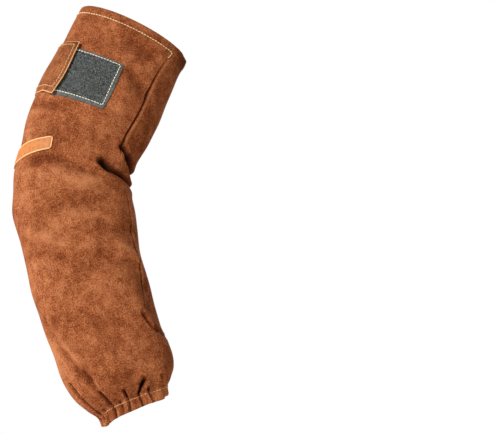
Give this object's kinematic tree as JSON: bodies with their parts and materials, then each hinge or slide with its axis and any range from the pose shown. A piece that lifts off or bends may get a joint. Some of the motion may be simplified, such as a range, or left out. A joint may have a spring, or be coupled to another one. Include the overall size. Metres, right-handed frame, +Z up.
{
  "type": "welding sleeve",
  "caption": "Bent tubular welding sleeve of split cowhide with turned arm hem, gathered elastic cuff, loop patch with strap tab and a small bare label.",
  "frame": {"origin": "centre of the arm opening's rim", "axes": "+Z up along the worn sleeve, from the cuff to the arm opening; -Y towards the viewer's side with the loop patch; +X towards the inner side of the arm"},
  "size_m": [0.2361, 0.1168, 0.5905],
  "materials": {
    "split_cowhide": "napped suede split, rust brown, no shine",
    "loop_fabric": "charcoal brushed loop pile with a lighter woven selvedge",
    "strap_leather": "suede split with lighter raw cut edges",
    "hook_tape": "dark woven hook tape",
    "label_leather": "smooth tan leather with a burnished edge, bare"
  },
  "bodies": {
    "root": {"sleeve_body": "split_cowhide", "arm_hem": "split_cowhide", "cuff_turn": "split_cowhide", "loop_patch": "loop_fabric", "strap": "strap_leather", "hook_patch": "hook_tape", "label": "label_leather"}
  },
  "joints": []
}
